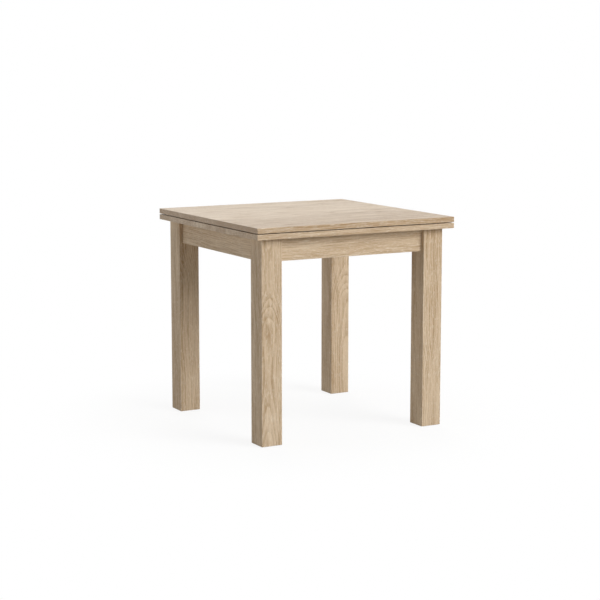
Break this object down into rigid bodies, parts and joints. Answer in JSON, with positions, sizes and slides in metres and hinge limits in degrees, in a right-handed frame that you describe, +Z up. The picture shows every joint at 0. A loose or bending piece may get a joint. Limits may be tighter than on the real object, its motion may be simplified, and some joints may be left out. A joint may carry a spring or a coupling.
{
  "type": "swivel extending table",
  "caption": "Square oak extending table: its folded top swivels on an off-centre pivot and opens out on flush hinges, over square legs and set-back aprons.",
  "frame": {"origin": "on the floor under the middle of the folded top", "axes": "+Z up, -Y the front seen on the right in the picture, +X the hinged edge of the folded leaves"},
  "size_m": [0.8, 0.8, 0.77],
  "materials": {
    "oak": "limed oak, matte lacquer",
    "oak_inner": "plain sawn oak, unfinished",
    "brass": "satin brass",
    "zinc_steel": "bright zinc plated steel",
    "black_steel": "black lacquered steel",
    "felt": "dark brown felt",
    "nylon": "natural nylon",
    "clear_silicone": "translucent soft silicone"
  },
  "bodies": {
    "base_frame": {"apron_back": "oak", "apron_front": "oak", "apron_left": "oak", "apron_right": "oak", "corner_block_back_left": "oak_inner", "corner_block_back_right": "oak_inner", "corner_block_front_left": "oak_inner", "corner_block_front_right": "oak_inner", "corner_block_screws": "zinc_steel", "cross_rail": "oak_inner", "foot_glides": "nylon", "glide_strips": "felt", "hanger_bolts": "zinc_steel", "hanger_nuts": "zinc_steel", "hanger_washers": "zinc_steel", "leg_back_left": "oak", "leg_back_right": "oak", "leg_front_left": "oak", "leg_front_right": "oak", "pivot_bush": "nylon", "pivot_rail": "oak_inner", "stop_pin": "black_steel", "thrust_disc": "nylon"},
    "lower_top": {"disc_spring": "zinc_steel", "lock_nut": "zinc_steel", "lower_hinge_pins": "brass", "lower_hinge_plate_back": "brass", "lower_hinge_plate_front": "brass", "lower_hinge_plate_middle": "brass", "lower_hinge_screws": "brass", "lower_leaf": "oak", "pivot_stud": "zinc_steel", "pivot_washer": "zinc_steel", "swivel_plate": "black_steel", "swivel_plate_screws": "zinc_steel"},
    "hinge_links": {"hinge_link_back": "brass", "hinge_link_front": "brass", "hinge_link_middle": "brass"},
    "upper_top": {"leaf_bumpers": "clear_silicone", "upper_hinge_pins": "brass", "upper_hinge_plate_back": "brass", "upper_hinge_plate_front": "brass", "upper_hinge_plate_middle": "brass", "upper_hinge_screws": "brass", "upper_leaf": "oak"}
  },
  "joints": [
    {"name": "top_swivel", "type": "hinge", "parent": "base_frame", "child": "lower_top", "pos_m": [0.20037, -0.20037, 0.725], "axis": [0, 0, 1], "range_deg": [0, 90]},
    {"name": "link_fold", "type": "hinge", "parent": "lower_top", "child": "hinge_links", "pos_m": [0.39675, 0, 0.7455], "axis": [0, 1, 0], "range_deg": [0, 90]},
    {"name": "leaf_fold", "type": "hinge", "parent": "hinge_links", "child": "upper_top", "pos_m": [0.39675, 0, 0.7535], "axis": [0, 1, 0], "range_deg": [0, 90]}
  ]
}
